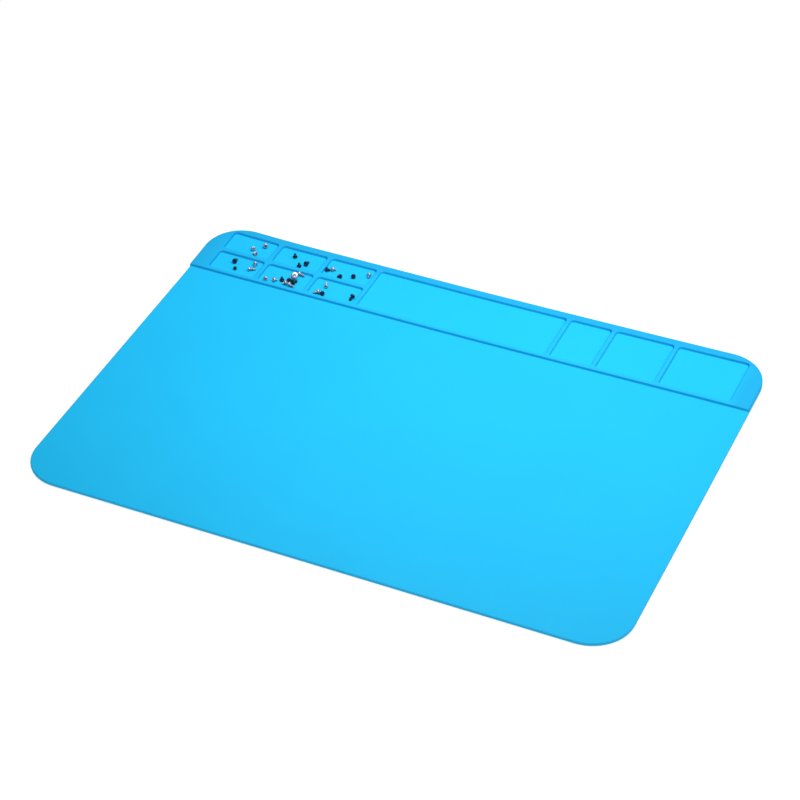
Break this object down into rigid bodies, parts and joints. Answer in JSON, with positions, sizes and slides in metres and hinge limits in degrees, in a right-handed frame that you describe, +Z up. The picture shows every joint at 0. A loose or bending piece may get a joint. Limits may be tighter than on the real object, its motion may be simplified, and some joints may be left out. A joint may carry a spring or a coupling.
{
  "type": "parts sorting mat",
  "caption": "Flexible blue silicone work mat with a raised back strip of shallow sorting pockets, holding loose black and silver miniature screws.",
  "frame": {"origin": "under the middle of the mat, on the surface that it lies on", "axes": "+X along the long edge, +Y from the work area towards the strip of pockets, +Z up"},
  "size_m": [0.35, 0.25, 0.0068],
  "materials": {
    "blue_silicone": "matt moulded silicone rubber, light sky blue",
    "black_steel": "black oxide steel, semi-gloss",
    "nickel_steel": "nickel-plated steel, satin to bright"
  },
  "bodies": {
    "mat": {"silicone_mat": "blue_silicone"},
    "black_pan_screw_1": {"black_pan_screw_1": "black_steel"},
    "black_pan_screw_2": {"black_pan_screw_2": "black_steel"},
    "black_pan_screw_3": {"black_pan_screw_3": "black_steel"},
    "black_pan_screw_4": {"black_pan_screw_4": "black_steel"},
    "black_short_screw_1": {"black_short_screw_1": "black_steel"},
    "black_short_screw_2": {"black_short_screw_2": "black_steel"},
    "black_short_screw_3": {"black_short_screw_3": "black_steel"},
    "black_short_screw_4": {"black_short_screw_4": "black_steel"},
    "black_short_screw_5": {"black_short_screw_5": "black_steel"},
    "black_short_screw_6": {"black_short_screw_6": "black_steel"},
    "black_short_screw_7": {"black_short_screw_7": "black_steel"},
    "black_short_screw_8": {"black_short_screw_8": "black_steel"},
    "black_tiny_screw_1": {"black_tiny_screw_1": "black_steel"},
    "silver_long_screw_1": {"silver_long_screw_1": "nickel_steel"},
    "silver_long_screw_2": {"silver_long_screw_2": "nickel_steel"},
    "silver_pan_screw_1": {"silver_pan_screw_1": "nickel_steel"},
    "silver_pan_screw_2": {"silver_pan_screw_2": "nickel_steel"},
    "silver_pan_screw_3": {"silver_pan_screw_3": "nickel_steel"},
    "silver_pan_screw_4": {"silver_pan_screw_4": "nickel_steel"},
    "silver_short_screw_1": {"silver_short_screw_1": "nickel_steel"},
    "silver_short_screw_2": {"silver_short_screw_2": "nickel_steel"},
    "silver_short_screw_3": {"silver_short_screw_3": "nickel_steel"},
    "silver_short_screw_4": {"silver_short_screw_4": "nickel_steel"},
    "silver_short_screw_5": {"silver_short_screw_5": "nickel_steel"},
    "silver_short_screw_6": {"silver_short_screw_6": "nickel_steel"},
    "silver_short_screw_7": {"silver_short_screw_7": "nickel_steel"},
    "silver_short_screw_8": {"silver_short_screw_8": "nickel_steel"},
    "silver_wafer_screw_1": {"silver_wafer_screw_1": "nickel_steel"}
  },
  "joints": [
    {"name": "black_pan_screw_1_lift", "type": "slide", "parent": "mat", "child": "black_pan_screw_1", "axis": [0, 0, 1], "range_m": [0, 0.03]},
    {"name": "black_pan_screw_2_lift", "type": "slide", "parent": "mat", "child": "black_pan_screw_2", "axis": [0, 0, 1], "range_m": [0, 0.03]},
    {"name": "black_pan_screw_3_lift", "type": "slide", "parent": "mat", "child": "black_pan_screw_3", "axis": [0, 0, 1], "range_m": [0, 0.03]},
    {"name": "black_pan_screw_4_lift", "type": "slide", "parent": "mat", "child": "black_pan_screw_4", "axis": [0, 0, 1], "range_m": [0, 0.03]},
    {"name": "black_short_screw_1_lift", "type": "slide", "parent": "mat", "child": "black_short_screw_1", "axis": [0, 0, 1], "range_m": [0, 0.03]},
    {"name": "black_short_screw_2_lift", "type": "slide", "parent": "mat", "child": "black_short_screw_2", "axis": [0, 0, 1], "range_m": [0, 0.03]},
    {"name": "black_short_screw_3_lift", "type": "slide", "parent": "mat", "child": "black_short_screw_3", "axis": [0, 0, 1], "range_m": [0, 0.03]},
    {"name": "black_short_screw_4_lift", "type": "slide", "parent": "mat", "child": "black_short_screw_4", "axis": [0, 0, 1], "range_m": [0, 0.03]},
    {"name": "black_short_screw_5_lift", "type": "slide", "parent": "mat", "child": "black_short_screw_5", "axis": [0, 0, 1], "range_m": [0, 0.03]},
    {"name": "black_short_screw_6_lift", "type": "slide", "parent": "mat", "child": "black_short_screw_6", "axis": [0, 0, 1], "range_m": [0, 0.03]},
    {"name": "black_short_screw_7_lift", "type": "slide", "parent": "mat", "child": "black_short_screw_7", "axis": [0, 0, 1], "range_m": [0, 0.03]},
    {"name": "black_short_screw_8_lift", "type": "slide", "parent": "mat", "child": "black_short_screw_8", "axis": [0, 0, 1], "range_m": [0, 0.03]},
    {"name": "black_tiny_screw_1_lift", "type": "slide", "parent": "mat", "child": "black_tiny_screw_1", "axis": [0, 0, 1], "range_m": [0, 0.03]},
    {"name": "silver_long_screw_1_lift", "type": "slide", "parent": "mat", "child": "silver_long_screw_1", "axis": [0, 0, 1], "range_m": [0, 0.03]},
    {"name": "silver_long_screw_2_lift", "type": "slide", "parent": "mat", "child": "silver_long_screw_2", "axis": [0, 0, 1], "range_m": [0, 0.03]},
    {"name": "silver_pan_screw_1_lift", "type": "slide", "parent": "mat", "child": "silver_pan_screw_1", "axis": [0, 0, 1], "range_m": [0, 0.03]},
    {"name": "silver_pan_screw_2_lift", "type": "slide", "parent": "mat", "child": "silver_pan_screw_2", "axis": [0, 0, 1], "range_m": [0, 0.03]},
    {"name": "silver_pan_screw_3_lift", "type": "slide", "parent": "mat", "child": "silver_pan_screw_3", "axis": [0, 0, 1], "range_m": [0, 0.03]},
    {"name": "silver_pan_screw_4_lift", "type": "slide", "parent": "mat", "child": "silver_pan_screw_4", "axis": [0, 0, 1], "range_m": [0, 0.03]},
    {"name": "silver_short_screw_1_lift", "type": "slide", "parent": "mat", "child": "silver_short_screw_1", "axis": [0, 0, 1], "range_m": [0, 0.03]},
    {"name": "silver_short_screw_2_lift", "type": "slide", "parent": "mat", "child": "silver_short_screw_2", "axis": [0, 0, 1], "range_m": [0, 0.03]},
    {"name": "silver_short_screw_3_lift", "type": "slide", "parent": "mat", "child": "silver_short_screw_3", "axis": [0, 0, 1], "range_m": [0, 0.03]},
    {"name": "silver_short_screw_4_lift", "type": "slide", "parent": "mat", "child": "silver_short_screw_4", "axis": [0, 0, 1], "range_m": [0, 0.03]},
    {"name": "silver_short_screw_5_lift", "type": "slide", "parent": "mat", "child": "silver_short_screw_5", "axis": [0, 0, 1], "range_m": [0, 0.03]},
    {"name": "silver_short_screw_6_lift", "type": "slide", "parent": "mat", "child": "silver_short_screw_6", "axis": [0, 0, 1], "range_m": [0, 0.03]},
    {"name": "silver_short_screw_7_lift", "type": "slide", "parent": "mat", "child": "silver_short_screw_7", "axis": [0, 0, 1], "range_m": [0, 0.03]},
    {"name": "silver_short_screw_8_lift", "type": "slide", "parent": "mat", "child": "silver_short_screw_8", "axis": [0, 0, 1], "range_m": [0, 0.03]},
    {"name": "silver_wafer_screw_1_lift", "type": "slide", "parent": "mat", "child": "silver_wafer_screw_1", "axis": [0, 0, 1], "range_m": [0, 0.03]}
  ]
}
